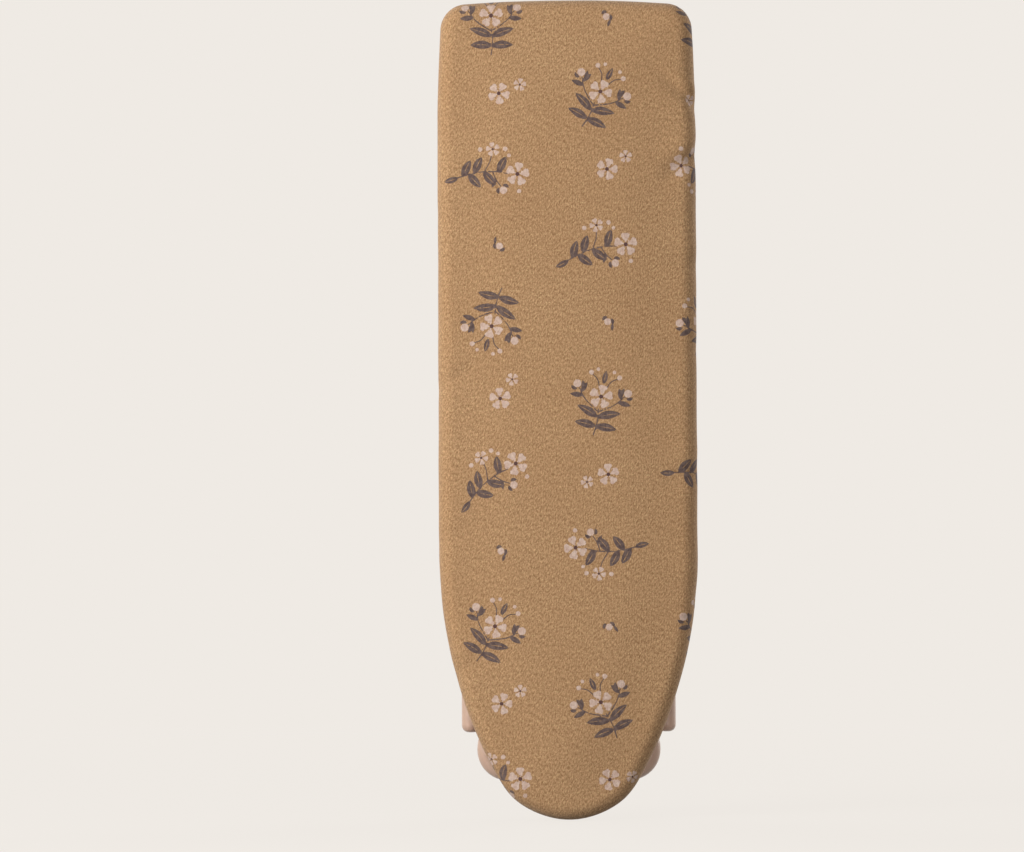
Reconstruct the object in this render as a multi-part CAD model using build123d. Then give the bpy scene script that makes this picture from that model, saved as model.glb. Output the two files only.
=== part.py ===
from build123d import *
from math import atan2, cos, degrees, hypot, radians, sin, sqrt
import os

# A small folding ironing board, folded and standing on its nose. Lengths are in millimetres.
# X runs across the board, Z along it from the nose tip up to the tail edge, and Y from the
# ironing face (front, -Y) to the legs (back, +Y). Depths are measured from the panel's back face.

# Board outline, over the cover
LENGTH = 164.0
WIDTH = 51.2
NOSE_RADIUS = 15.5
NOSE_SWEEP = 60.0  # degrees of nose arc on each side of the tip
SHOULDER_START_Z = 136.0  # the sides curve in from here to the tail corners
SHOULDER_RADIUS = 340.0
CORNER_RADIUS = 5.0  # tail corners
SHARPEST_CORNER = 1.0  # tail corners of the inset outlines
TAIL_RADIUS = 280.0

# Layers of the padded board
PANEL_THICKNESS = 3.0
PANEL_INSET = 0.9
PANEL_EDGE_RADIUS = 0.4
FOAM_THICKNESS = 3.6
FOAM_INSET = 0.6
FOAM_EDGE_RADIUS = 2.4
FABRIC_THICKNESS = 0.5
COVER_EDGE_RADIUS = 3.0
COVER_BACK_RADIUS = 0.9

# Turned-in edge of the cover, with its casing and elastic
HEM_RETURN = 4.0
BINDING_WIDTH = 2.6
BINDING_THICKNESS = 1.4
BINDING_WALL = 0.4
BINDING_EDGE_RADIUS = 0.3
ELASTIC_PLAY = 0.05

# Leg rods
ROD_DIAMETER = 3.8
ROD_DEPTH = 4.9  # rod centres behind the panel's back face
TIP_RADIUS = 1.35  # rounding of a rod's free end
TIP_SEARCH = 0.2  # the end faces are found within this of their height
OUTER_LEG_WIDTH = 43.2
OUTER_BEND_RADIUS = 7.0  # to the outside of the rod
INNER_LEG_WIDTH = 35.2
INNER_BEND_RADIUS = 6.2
TAIL_PIVOT_Z = 150.3
CATCH_BAR_Z = 9.3  # closed end of the inner rod, folded
OUTER_TIP_Z = 17.2
FLARE = 0.9  # the inner rod's closed end is wider than its legs by this, on each side
FLARE_START_Z = 18.2
FLARE_END_Z = 14.6
FLARE_BEND_RADIUS = 7.0  # to the middle of the rod
OPEN_ANGLE = 46.0  # degrees between the legs and the board, fully open

# Crossing pivot
RIVET_DIAMETER = 1.5
RIVET_HOLE_DIAMETER = 1.6
RIVET_HEAD_DIAMETER = 3.2
RIVET_HEAD_HEIGHT = 0.8
RIVET_HEAD_ROUNDING = 0.72
CLENCH_DIAMETER = 2.6
CLENCH_HEIGHT = 0.7
CLENCH_ROUNDING = 0.56
SEAT_DIAMETER = 3.6  # flat seats cut in the rods round the rivet
SEAT_DEPTH = 0.45
GAP_SEAT_DEPTH = 0.3  # seats on the two facing sides
WASHER_DIAMETER = 3.4
CLENCH_WASHER_THICKNESS = 0.4
PIVOT_PLAY = 0.05

# Tail bearings
BEARING_X = 10.0
BEARING_WIDTH = 5.0
BEARING_LENGTH = 12.4
BEARING_PLAY = 0.05
BLOCK_EDGE_RADIUS = 0.4
STRAP_THICKNESS = 0.8
STRAP_WIDTH = 4.2
STRAP_SCREW_OFFSET = 4.5

# Catch racks
RACK_X = 6.4  # inner face of the upright web
RACK_THICKNESS = 0.8
RACK_HEIGHT = 8.0
RACK_FLANGE = 5.2
RACK_TIP_Z = 5.4
RACK_FLANGE_START_Z = 20.0
RACK_END_Z = 58.5
RACK_TIP_CLEARANCE = 1.8  # the tip stands off the panel by this, over the cover's binding
RACK_CORNER_RADIUS = 1.0
SLOT_PLAY = 0.1
NOTCH_DEPTH = 1.4
NOTCH_ANGLES = (30.0, 36.0, 41.0, OPEN_ANGLE)
RACK_SCREW_Z = (26.0, 53.0)

# Wood screws
SCREW_DIAMETER = 1.4
SCREW_BITE = 2.2  # depth in the panel
SCREW_HEAD_DIAMETER = 2.8
SCREW_HEAD_HEIGHT = 0.8
SCREW_HEAD_ROUNDING = 0.5
CROSS_LENGTH = 1.7
CROSS_WIDTH = 0.35
CROSS_DEPTH = 0.35

# Worked out from the dimensions above
NOSE_SINE = sin(radians(NOSE_SWEEP))
SIDE_RADIUS = (WIDTH / 2 - NOSE_RADIUS * NOSE_SINE) / (1 - NOSE_SINE)
FRONT_DEPTH = PANEL_THICKNESS + FOAM_THICKNESS + FABRIC_THICKNESS
PANEL_BACK_Y = (FRONT_DEPTH - RACK_HEIGHT) / 2  # puts the whole depth evenly about Y = 0
ROD_RADIUS = ROD_DIAMETER / 2
ROD_Y = PANEL_BACK_Y + ROD_DEPTH
OUTER_LEG_X = OUTER_LEG_WIDTH / 2 - ROD_RADIUS
INNER_LEG_X = INNER_LEG_WIDTH / 2 - ROD_RADIUS
HALF_SPAN = (TAIL_PIVOT_Z - CATCH_BAR_Z) / 2  # tail pivot to crossing, and crossing to catch bar
CROSSING_Z = TAIL_PIVOT_Z - HALF_SPAN
INNER_TIP_Z = 2 * CROSSING_Z - OUTER_TIP_Z
BEARING_RADIUS = ROD_RADIUS + BEARING_PLAY
SLOT_WIDTH = ROD_DIAMETER + 2 * SLOT_PLAY
OUTER_FACE_X = OUTER_LEG_X + ROD_RADIUS - SEAT_DEPTH
GAP_OUTER_X = OUTER_LEG_X - ROD_RADIUS + GAP_SEAT_DEPTH
GAP_INNER_X = INNER_LEG_X + ROD_RADIUS - GAP_SEAT_DEPTH
INNER_FACE_X = INNER_LEG_X - ROD_RADIUS + SEAT_DEPTH
RACK_SCREW_X = RACK_X + RACK_THICKNESS + (RACK_FLANGE - RACK_THICKNESS) / 2


def catch_bar_z(angle):
    """Height of the inner rod's closed end in its slot, with the legs open by `angle` degrees."""
    return TAIL_PIVOT_Z - 2 * HALF_SPAN * cos(radians(angle))


def tail_corner(inset):
    """Radius of an outline's tail corner, and the sweeps of the shoulder and tail arcs beside it.
    The corner's circle touches the other two from inside."""
    radius = max(CORNER_RADIUS - inset, SHARPEST_CORNER)
    shoulder_x = WIDTH / 2 - SHOULDER_RADIUS
    tail_z = LENGTH - TAIL_RADIUS
    to_shoulder = SHOULDER_RADIUS - inset - radius
    to_tail = TAIL_RADIUS - inset - radius
    step_x = -shoulder_x
    step_z = tail_z - SHOULDER_START_Z
    apart = hypot(step_x, step_z)
    along = (to_shoulder**2 - to_tail**2 + apart**2) / (2 * apart)
    aside = sqrt(to_shoulder**2 - along**2)
    corner_x = shoulder_x + (along * step_x - aside * step_z) / apart
    corner_z = SHOULDER_START_Z + (along * step_z + aside * step_x) / apart
    shoulder_sweep = degrees(atan2(corner_z - SHOULDER_START_Z, corner_x - shoulder_x))
    tail_sweep = degrees(atan2(corner_x, corner_z - tail_z))
    return radius, shoulder_sweep, tail_sweep


def outline(inset):
    """The board's outline, drawn `inset` inside the cover's edge, as a face that looks forward."""
    corner_radius, shoulder_sweep, tail_sweep = tail_corner(inset)
    corner_sweep = 90 - shoulder_sweep - tail_sweep
    nose = JernArc((0, inset), (1, 0), NOSE_RADIUS - inset, NOSE_SWEEP)
    side = JernArc(nose @ 1, nose % 1, SIDE_RADIUS - inset, 90 - NOSE_SWEEP)
    edge = Line(side @ 1, (WIDTH / 2 - inset, SHOULDER_START_Z))
    shoulder = JernArc(edge @ 1, (0, 1), SHOULDER_RADIUS - inset, shoulder_sweep)
    corner = JernArc(shoulder @ 1, shoulder % 1, corner_radius, corner_sweep)
    tail = JernArc(corner @ 1, corner % 1, TAIL_RADIUS - inset, tail_sweep)
    right = nose + side + edge + shoulder + corner + tail
    return make_face(Plane.XZ * (right + mirror(right, Plane.YZ)))


def slab(inset, front, back):
    """A layer of the board between two depths, measured from the panel's back face."""
    face = Pos(0, PANEL_BACK_Y + back, 0) * outline(inset)
    return extrude(face, back - front)


def front_edges(solid):
    """The outline edges of a slab's front face."""
    return solid.faces().sort_by(Axis.Y)[0].edges()


def back_edges(solid):
    """The outline edges of a slab's back face."""
    return solid.faces().sort_by(Axis.Y)[-1].edges()


def peg(diameter, front, back, x, z):
    """A round bar along Y between two depths."""
    middle = PANEL_BACK_Y + (front + back) / 2
    return Pos(x, middle, z) * Rot(90, 0, 0) * Cylinder(diameter / 2, back - front)


def cross_bar(diameter, start_x, end_x, z=CROSSING_Z):
    """A round bar along X at the rods' depth."""
    middle = (start_x + end_x) / 2
    return Pos(middle, ROD_Y, z) * Rot(0, 90, 0) * Cylinder(diameter / 2, abs(end_x - start_x))


def bearing_screw_places():
    """X and Z of the screws of both tail bearings."""
    return [
        (side * BEARING_X, TAIL_PIVOT_Z + end * STRAP_SCREW_OFFSET)
        for side in (-1, 1)
        for end in (-1, 1)
    ]


def rack_screw_places():
    """X and Z of the screws of both catch racks."""
    return [(side * RACK_SCREW_X, z) for side in (-1, 1) for z in RACK_SCREW_Z]


def board_panel():
    """Stiff panel under the pad, with a pilot hole for each screw."""
    panel = slab(PANEL_INSET, -PANEL_THICKNESS, 0)
    panel = fillet(back_edges(panel), PANEL_EDGE_RADIUS)
    for x, z in bearing_screw_places() + rack_screw_places():
        panel -= peg(SCREW_DIAMETER, -SCREW_BITE, 0, x, z)
    return panel


def foam_pad():
    """Soft pad on the panel's front, rounded at its front edge."""
    pad = slab(FOAM_INSET, -PANEL_THICKNESS - FOAM_THICKNESS, -PANEL_THICKNESS)
    return fillet(front_edges(pad), FOAM_EDGE_RADIUS)


def fabric_cover():
    """Cotton cover: a thin shell round the pad and panel, turned in over the panel's back edge."""
    cover = slab(0, -FRONT_DEPTH, FABRIC_THICKNESS)
    cover = fillet(front_edges(cover), COVER_EDGE_RADIUS)
    cover = fillet(back_edges(cover), COVER_BACK_RADIUS)
    inside = slab(FABRIC_THICKNESS, -PANEL_THICKNESS - FOAM_THICKNESS, 0)
    inside = fillet(front_edges(inside), COVER_EDGE_RADIUS - FABRIC_THICKNESS)
    mouth = slab(HEM_RETURN, -PANEL_THICKNESS, FABRIC_THICKNESS)
    return cover - inside - mouth


def cover_binding():
    """Bias-tape casing along the cover's turned-in edge, hollow for the elastic."""
    outside = slab(HEM_RETURN, 0, BINDING_THICKNESS)
    outside = fillet(back_edges(outside), BINDING_EDGE_RADIUS)
    middle = slab(HEM_RETURN + BINDING_WIDTH, 0, BINDING_THICKNESS)
    channel = slab(HEM_RETURN + BINDING_WALL, BINDING_WALL, BINDING_THICKNESS - BINDING_WALL)
    core = slab(
        HEM_RETURN + BINDING_WIDTH - BINDING_WALL,
        BINDING_WALL,
        BINDING_THICKNESS - BINDING_WALL,
    )
    return outside - middle - (channel - core)


def hem_elastic():
    """Flat elastic that runs round inside the casing."""
    wall = BINDING_WALL + ELASTIC_PLAY
    outside = slab(HEM_RETURN + wall, wall, BINDING_THICKNESS - wall)
    inside = slab(HEM_RETURN + BINDING_WIDTH - wall, wall, BINDING_THICKNESS - wall)
    return outside - inside


def bent_rod(corners, bend_radii):
    """A round rod bent to a U with two domed tips. `corners` are the X and Z of the right leg's tip
    and bends, from the tip to the closed end."""
    left = [(-x, ROD_Y, z) for x, z in corners]
    right = [(x, ROD_Y, z) for x, z in reversed(corners)]
    path = FilletPolyline(*left, *right, radius=bend_radii + bend_radii[::-1])
    tip_z = corners[0][1]
    start = Plane(origin=path @ 0, z_dir=path % 0)
    rod = sweep(start * Circle(ROD_RADIUS), path)
    tips = [face for face in rod.faces() if abs(face.center().Z - tip_z) < TIP_SEARCH]
    return fillet([edge for face in tips for edge in face.edges()], TIP_RADIUS)


def outer_leg_rod():
    """Outer leg rod: its closed end turns in the tail bearings, and its tips are the nose feet."""
    corners = [(OUTER_LEG_X, OUTER_TIP_Z), (OUTER_LEG_X, TAIL_PIVOT_Z)]
    rod = bent_rod(corners, [OUTER_BEND_RADIUS - ROD_RADIUS])
    for side in (-1, 1):
        rod -= cross_bar(RIVET_DIAMETER, side * GAP_INNER_X, side * OUTER_LEG_WIDTH)
        rod -= cross_bar(SEAT_DIAMETER, side * OUTER_FACE_X, side * OUTER_LEG_WIDTH)
        rod -= cross_bar(SEAT_DIAMETER, side * GAP_INNER_X, side * GAP_OUTER_X)
    return rod


def inner_leg_rod():
    """Inner leg rod: its closed end slides in the catch racks, and its tips are the tail feet. It
    is a little wider from below the outer rod's tips to its closed end."""
    corners = [
        (INNER_LEG_X, INNER_TIP_Z),
        (INNER_LEG_X, FLARE_START_Z),
        (INNER_LEG_X + FLARE, FLARE_END_Z),
        (INNER_LEG_X + FLARE, CATCH_BAR_Z),
    ]
    bends = [FLARE_BEND_RADIUS, FLARE_BEND_RADIUS, INNER_BEND_RADIUS - ROD_RADIUS]
    rod = bent_rod(corners, bends)
    for side in (-1, 1):
        rod -= cross_bar(RIVET_HOLE_DIAMETER, 0, side * GAP_OUTER_X)
        rod -= cross_bar(SEAT_DIAMETER, side * GAP_INNER_X, side * GAP_OUTER_X)
        rod -= cross_bar(SEAT_DIAMETER, 0, side * INNER_FACE_X)
    return rod


def pivot_rivet(side):
    """Rivet through both rods: a domed head outside, and a clenched head on the washer inside."""
    clench_x = INNER_FACE_X - PIVOT_PLAY - CLENCH_WASHER_THICKNESS
    head = cross_bar(RIVET_HEAD_DIAMETER, OUTER_FACE_X, OUTER_FACE_X + RIVET_HEAD_HEIGHT)
    head = fillet(head.faces().sort_by(Axis.X)[-1].edges(), RIVET_HEAD_ROUNDING)
    clench = cross_bar(CLENCH_DIAMETER, clench_x - CLENCH_HEIGHT, clench_x)
    clench = fillet(clench.faces().sort_by(Axis.X)[0].edges(), CLENCH_ROUNDING)
    rivet = head + cross_bar(RIVET_DIAMETER, clench_x, OUTER_FACE_X) + clench
    return rivet if side > 0 else mirror(rivet, Plane.YZ)


def washer(side, start_x, end_x):
    """A flat washer on a rivet."""
    ring = cross_bar(WASHER_DIAMETER, start_x, end_x)
    ring -= cross_bar(RIVET_HOLE_DIAMETER, start_x, end_x)
    return ring if side > 0 else mirror(ring, Plane.YZ)


def spacer_washer(side):
    """Washer that keeps the two rods apart."""
    return washer(side, GAP_INNER_X + PIVOT_PLAY, GAP_OUTER_X)


def rivet_washer(side):
    """Washer under the clenched end of a rivet."""
    face = INNER_FACE_X - PIVOT_PLAY
    return washer(side, face - CLENCH_WASHER_THICKNESS, face)


def tail_block(side):
    """Grooved block on the panel: the lower half of a tail bearing."""
    middle_y = PANEL_BACK_Y + ROD_DEPTH / 2
    block = Pos(BEARING_X, middle_y, TAIL_PIVOT_Z) * Box(BEARING_WIDTH, ROD_DEPTH, BEARING_LENGTH)
    block = fillet(block.edges().filter_by(Axis.Y), BLOCK_EDGE_RADIUS)
    block -= cross_bar(2 * BEARING_RADIUS, 0, 2 * BEARING_X, TAIL_PIVOT_Z)
    for x, z in bearing_screw_places():
        block -= peg(SCREW_DIAMETER, 0, ROD_DEPTH, x, z)
    return block if side > 0 else mirror(block, Plane.YZ)


def tail_clip(side):
    """Metal strap over the rod: the upper half of a tail bearing."""
    ears = Pos(ROD_Y + STRAP_THICKNESS / 2, TAIL_PIVOT_Z) * Rectangle(STRAP_THICKNESS, BEARING_LENGTH)
    ring = Pos(ROD_Y, TAIL_PIVOT_Z) * Circle(BEARING_RADIUS + STRAP_THICKNESS)
    below = Pos(ROD_Y - BEARING_LENGTH / 2, TAIL_PIVOT_Z) * Rectangle(BEARING_LENGTH, BEARING_LENGTH)
    section = ears + ring - Pos(ROD_Y, TAIL_PIVOT_Z) * Circle(BEARING_RADIUS) - below
    strap = extrude(Plane.YZ.offset(BEARING_X - STRAP_WIDTH / 2) * section, STRAP_WIDTH)
    for x, z in bearing_screw_places():
        strap -= peg(SCREW_DIAMETER, ROD_DEPTH, ROD_DEPTH + STRAP_THICKNESS, x, z)
    return strap if side > 0 else mirror(strap, Plane.YZ)


def rack_web():
    """Side view of a catch rack: an upright plate with a long slot and notches towards the board."""
    tip_y = PANEL_BACK_Y + RACK_TIP_CLEARANCE
    back_y = PANEL_BACK_Y + RACK_HEIGHT
    plate = make_face(
        Polyline(
            (PANEL_BACK_Y, RACK_FLANGE_START_Z),
            (PANEL_BACK_Y, RACK_END_Z),
            (back_y, RACK_END_Z),
            (back_y, RACK_TIP_Z),
            (tip_y, RACK_TIP_Z),
            (tip_y, RACK_FLANGE_START_Z),
            close=True,
        )
    )
    back_corners = plate.vertices().filter_by(lambda vertex: vertex.X > tip_y)
    plate = fillet(back_corners, RACK_CORNER_RADIUS)
    open_z = catch_bar_z(OPEN_ANGLE)
    slot = SlotCenterToCenter(open_z - CATCH_BAR_Z, SLOT_WIDTH, rotation=90)
    plate -= Pos(ROD_Y, (open_z + CATCH_BAR_Z) / 2) * slot
    for angle in NOTCH_ANGLES:
        notch = SlotCenterToCenter(NOTCH_DEPTH, SLOT_WIDTH)
        plate -= Pos(ROD_Y - NOTCH_DEPTH / 2, catch_bar_z(angle)) * notch
    return plate


def catch_rack(side):
    """Steel angle screwed to the panel; the inner rod's closed end slides in its slot."""
    rack = extrude(Plane.YZ.offset(RACK_X) * rack_web(), RACK_THICKNESS)
    flange_length = RACK_END_Z - RACK_FLANGE_START_Z
    flange = Box(RACK_FLANGE, RACK_THICKNESS, flange_length)
    flange = fillet(flange.edges().filter_by(Axis.Y).group_by(Axis.X)[-1], RACK_CORNER_RADIUS)
    rack += Pos(
        RACK_X + RACK_FLANGE / 2,
        PANEL_BACK_Y + RACK_THICKNESS / 2,
        RACK_FLANGE_START_Z + flange_length / 2,
    ) * flange
    for x, z in rack_screw_places():
        rack -= peg(SCREW_DIAMETER, 0, RACK_THICKNESS, x, z)
    return rack if side > 0 else mirror(rack, Plane.YZ)


def wood_screw(x, z, seat_depth):
    """Cross-head wood screw whose head sits on a surface `seat_depth` behind the panel."""
    top = seat_depth + SCREW_HEAD_HEIGHT
    head = peg(SCREW_HEAD_DIAMETER, seat_depth, top, x, z)
    head = fillet(back_edges(head), SCREW_HEAD_ROUNDING)
    cross = Box(CROSS_LENGTH, CROSS_DEPTH, CROSS_WIDTH) + Box(CROSS_WIDTH, CROSS_DEPTH, CROSS_LENGTH)
    head -= Pos(x, PANEL_BACK_Y + top - CROSS_DEPTH / 2, z) * cross
    return head + peg(SCREW_DIAMETER, -SCREW_BITE, seat_depth, x, z)


def tail_clip_screws():
    """Four screws that hold the straps and blocks to the panel."""
    seat = ROD_DEPTH + STRAP_THICKNESS
    return Compound([wood_screw(x, z, seat).solid() for x, z in bearing_screw_places()])


def rack_screws():
    """Four screws that hold the racks to the panel."""
    return Compound([wood_screw(x, z, RACK_THICKNESS).solid() for x, z in rack_screw_places()])


def main():
    nodes = {
        "board_panel": board_panel(),
        "foam_pad": foam_pad(),
        "fabric_cover": fabric_cover(),
        "cover_binding": cover_binding(),
        "hem_elastic": hem_elastic(),
        "tail_clip_screws": tail_clip_screws(),
        "rack_screws": rack_screws(),
        "outer_leg_rod": outer_leg_rod(),
        "inner_leg_rod": inner_leg_rod(),
    }
    for name, side in (("left", -1), ("right", 1)):
        nodes["tail_block_" + name] = tail_block(side)
        nodes["tail_clip_" + name] = tail_clip(side)
        nodes["catch_rack_" + name] = catch_rack(side)
        nodes["pivot_rivet_" + name] = pivot_rivet(side)
        nodes["spacer_washer_" + name] = spacer_washer(side)
        nodes["rivet_washer_" + name] = rivet_washer(side)
    os.makedirs("parts", exist_ok=True)
    for name, shape in nodes.items():
        export_step(shape, "parts/" + name + ".step")
    print("tail pivot y, z:", ROD_Y, TAIL_PIVOT_Z)
    print("crossing z:", CROSSING_Z, "inner tips z:", INNER_TIP_Z)


main()
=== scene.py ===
import math

import bpy
import numpy as np
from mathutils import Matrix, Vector, geometry, noise


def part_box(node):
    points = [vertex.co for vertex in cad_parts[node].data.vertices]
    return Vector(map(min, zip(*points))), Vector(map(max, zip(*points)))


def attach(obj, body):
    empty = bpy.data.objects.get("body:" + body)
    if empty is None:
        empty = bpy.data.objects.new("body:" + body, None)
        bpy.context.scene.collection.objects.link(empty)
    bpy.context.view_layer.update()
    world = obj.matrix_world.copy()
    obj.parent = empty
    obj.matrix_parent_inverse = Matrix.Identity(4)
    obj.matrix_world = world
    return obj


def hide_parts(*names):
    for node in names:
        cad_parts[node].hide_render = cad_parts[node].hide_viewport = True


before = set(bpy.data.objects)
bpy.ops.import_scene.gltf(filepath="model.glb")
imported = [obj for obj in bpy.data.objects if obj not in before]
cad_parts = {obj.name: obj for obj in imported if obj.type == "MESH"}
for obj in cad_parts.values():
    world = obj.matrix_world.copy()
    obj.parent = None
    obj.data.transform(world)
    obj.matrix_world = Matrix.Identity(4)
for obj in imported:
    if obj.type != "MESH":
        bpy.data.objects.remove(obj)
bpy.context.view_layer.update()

# Looks of a small folding ironing board that stands on its nose. Lengths are in metres.
MM = 0.001

# ---------------- sizes that follow the CAD part
COVER_LOW, COVER_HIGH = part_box("fabric_cover")
BINDING_LOW, BINDING_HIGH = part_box("cover_binding")
PAD_LOW, PAD_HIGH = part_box("foam_pad")
ELASTIC_LOW, ELASTIC_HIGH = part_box("hem_elastic")
HALF_WIDTH = (COVER_HIGH.x - COVER_LOW.x) / 2
TAIL_Z = COVER_HIGH.z
FRONT_Y = COVER_LOW.y
BACK_Y = COVER_HIGH.y
NOSE_RADIUS = 15.5 * MM
NOSE_SWEEP = math.radians(60)
NOSE_SINE = math.sin(NOSE_SWEEP)
SIDE_RADIUS = (HALF_WIDTH - NOSE_RADIUS * NOSE_SINE) / (1 - NOSE_SINE)
SIDE_CENTRE = (
    HALF_WIDTH - SIDE_RADIUS,
    NOSE_RADIUS + (SIDE_RADIUS - NOSE_RADIUS) * math.cos(NOSE_SWEEP),
)
SHOULDER_START_Z = 136 * MM  # the sides curve in from here to the tail corners
SHOULDER_RADIUS = 340 * MM
CORNER_RADIUS = 5 * MM
SHARPEST_CORNER = 1 * MM
TAIL_RADIUS = 280 * MM

# Wrap of the cloth round the board's edge, from the front over the side to the back
ROLL_RADIUS = 3 * MM
BACK_RADIUS = 0.9 * MM
ROLL_LENGTH = ROLL_RADIUS * math.pi / 2
WALL_LENGTH = BACK_Y - FRONT_Y - ROLL_RADIUS - BACK_RADIUS
BACK_TURN_LENGTH = BACK_RADIUS * math.pi / 2
HEM_INSET = BINDING_LOW.z - COVER_LOW.z
HEM_TUCK = 0.5 * MM  # how far the raw edge reaches into its casing
RETURN_LENGTH = HEM_INSET - BACK_RADIUS + HEM_TUCK
SKIRT_LENGTH = ROLL_LENGTH + WALL_LENGTH + BACK_TURN_LENGTH + RETURN_LENGTH
CLOTH_THICKNESS = 0.32 * MM


def smooth(value, start, end):
    """Smooth step from 0 at `start` to 1 at `end`."""
    t = np.clip((value - start) / (end - start), 0, 1)
    return t * t * (3 - 2 * t)


def noise_at(points, wavelength, seed=0.0):
    """Smooth noise, about -1 to 1, at each of the points."""
    shift = Vector((seed, seed * 1.7, seed * 0.6))
    return np.array([noise.noise(Vector(p) / wavelength + shift) for p in points])


# ---------------- the outline
def outline(inset):
    """The right half of the outline drawn `inset` inside the board's edge, from nose to tail, as
    arcs: centre, radius, and the first and last direction of the normal, turned from straight down.
    A straight edge lies between the second arc and the third."""
    quarter = math.pi / 2
    corner_radius = max(CORNER_RADIUS - inset, SHARPEST_CORNER)
    shoulder_x = HALF_WIDTH - SHOULDER_RADIUS
    tail_z = TAIL_Z - TAIL_RADIUS
    to_shoulder = SHOULDER_RADIUS - inset - corner_radius
    to_tail = TAIL_RADIUS - inset - corner_radius
    step_x, step_z = -shoulder_x, tail_z - SHOULDER_START_Z
    apart = math.hypot(step_x, step_z)
    along = (to_shoulder ** 2 - to_tail ** 2 + apart ** 2) / (2 * apart)
    aside = math.sqrt(to_shoulder ** 2 - along ** 2)
    corner_x = shoulder_x + (along * step_x - aside * step_z) / apart
    corner_z = SHOULDER_START_Z + (along * step_z + aside * step_x) / apart
    shoulder_end = quarter + math.atan2(corner_z - SHOULDER_START_Z, corner_x - shoulder_x)
    tail_start = 2 * quarter - math.atan2(corner_x, corner_z - tail_z)
    return (
        ((0, NOSE_RADIUS), NOSE_RADIUS - inset, 0, NOSE_SWEEP),
        (SIDE_CENTRE, SIDE_RADIUS - inset, NOSE_SWEEP, quarter),
        ((shoulder_x, SHOULDER_START_Z), SHOULDER_RADIUS - inset, quarter, shoulder_end),
        ((corner_x, corner_z), corner_radius, shoulder_end, tail_start),
        ((0, tail_z), TAIL_RADIUS - inset, tail_start, 2 * quarter),
    )


EDGE = outline(0)
STRAIGHT_LENGTH = SHOULDER_START_Z - SIDE_CENTRE[1]
ARC_LENGTHS = [radius * (last - first) for _, radius, first, last in EDGE]
STRAIGHT_START = sum(ARC_LENGTHS[:2])
HALF_PERIMETER = sum(ARC_LENGTHS) + STRAIGHT_LENGTH
CORNER_X, CORNER_Z = EDGE[3][0]


def locate(flat, inset):
    """For points (x, z): distance beyond the outline drawn `inset` inside the edge, nearest point on
    it, outward normal there, and distance along the board's edge from the nose, negative at left."""
    x = np.abs(flat[:, 0])
    z = flat[:, 1]
    side = np.where(flat[:, 0] < 0, -1.0, 1.0)
    found = []
    for i, (centre, radius, first, last) in enumerate(outline(inset)):
        _, edge_radius, edge_first, edge_last = EDGE[i]
        start = sum(ARC_LENGTHS[:i]) + (STRAIGHT_LENGTH if i > 1 else 0)
        angle = np.clip(np.arctan2(x - centre[0], centre[1] - z), first, last)
        normal_x, normal_z = np.sin(angle), -np.cos(angle)
        along = start + edge_radius * (np.clip(angle, edge_first, edge_last) - edge_first)
        found.append((centre[0] + radius * normal_x, centre[1] + radius * normal_z,
                      normal_x, normal_z, along))
    one, zero = np.ones_like(x), np.zeros_like(x)
    edge_z = np.clip(z, SIDE_CENTRE[1], SHOULDER_START_Z)
    along = STRAIGHT_START + edge_z - SIDE_CENTRE[1]
    found.append((one * (HALF_WIDTH - inset), edge_z, one, zero, along))
    table = np.array(found)
    gap = np.hypot(table[:, 0] - x, table[:, 1] - z)
    near_x, near_z, normal_x, normal_z, along = table[np.argmin(gap, 0), :, np.arange(len(x))].T
    beyond = (x - near_x) * normal_x + (z - near_z) * normal_z
    return beyond, near_x * side, near_z, normal_x * side, normal_z, along * side


def ring(inset, spacing, curve_spacing=None):
    """Points (x, z) round the outline drawn `inset` inside the board's edge (negative: outside). The
    tight curves of nose and corners take points at `curve_spacing`."""
    def arc(centre, radius, first, last):
        pitch = curve_spacing if curve_spacing and radius < 2 * NOSE_RADIUS else spacing
        steps = max(2, round(radius * (last - first) / pitch))
        angles = [first + (last - first) * i / steps for i in range(steps)]
        return [(centre[0] + radius * math.sin(a), centre[1] - radius * math.cos(a)) for a in angles]

    nose, side, shoulder, corner, tail = outline(inset)
    steps = round(STRAIGHT_LENGTH / spacing)
    straight = [(HALF_WIDTH - inset, SIDE_CENTRE[1] + STRAIGHT_LENGTH * i / steps)
                for i in range(steps)]
    points = arc(*nose) + arc(*side) + straight + arc(*shoulder) + arc(*corner) + arc(*tail)
    points.append((0, TAIL_Z - inset))
    left = [(-x, z) for x, z in reversed(points[1:-1])]
    return np.array(points + left)


# ---------------- printed pattern
# A small scattered print of sprigs, drawn as tapered strokes: an ink, a list of points and the
# half width at each point. A disc is a stroke with one point. Motif lengths are in millimetres.
PETAL, LEAF, HEART, VEIN = range(4)
INK_EDGE = 0.085  # half the width of an ink's soft edge
STEM_HALF_WIDTH = 0.12
PRINT_SCALE = 1.1
PETAL_COUNT = 5
PETAL_LEAN = 0.19  # turn in radians that parts the two strokes of a petal


def turned(x, z, angle):
    c, s = math.cos(angle), math.sin(angle)
    return x * c - z * s, x * s + z * c


def disc(ink, x, z, radius):
    return [(ink, [(x, z)], [radius])]


def leaf(x, z, degrees, length, width, bend=0.0, vein=True):
    """Pointed leaf from its foot; bend is how far its middle leaves the straight line."""
    steps = 9
    angle = math.radians(degrees)
    spine, widths = [], []
    for i in range(steps + 1):
        t = i / steps
        dx, dz = turned(t * length, bend * math.sin(math.pi * t), angle)
        spine.append((x + dx, z + dz))
        widths.append(max(0.03, width / 2 * math.sin(math.pi * t ** 0.85) ** 0.8))
    marks = [(LEAF, spine, widths)]
    if vein:
        marks.append((VEIN, spine[2:9], [0.03, 0.06, 0.08, 0.09, 0.08, 0.06, 0.03]))
    return marks


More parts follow.
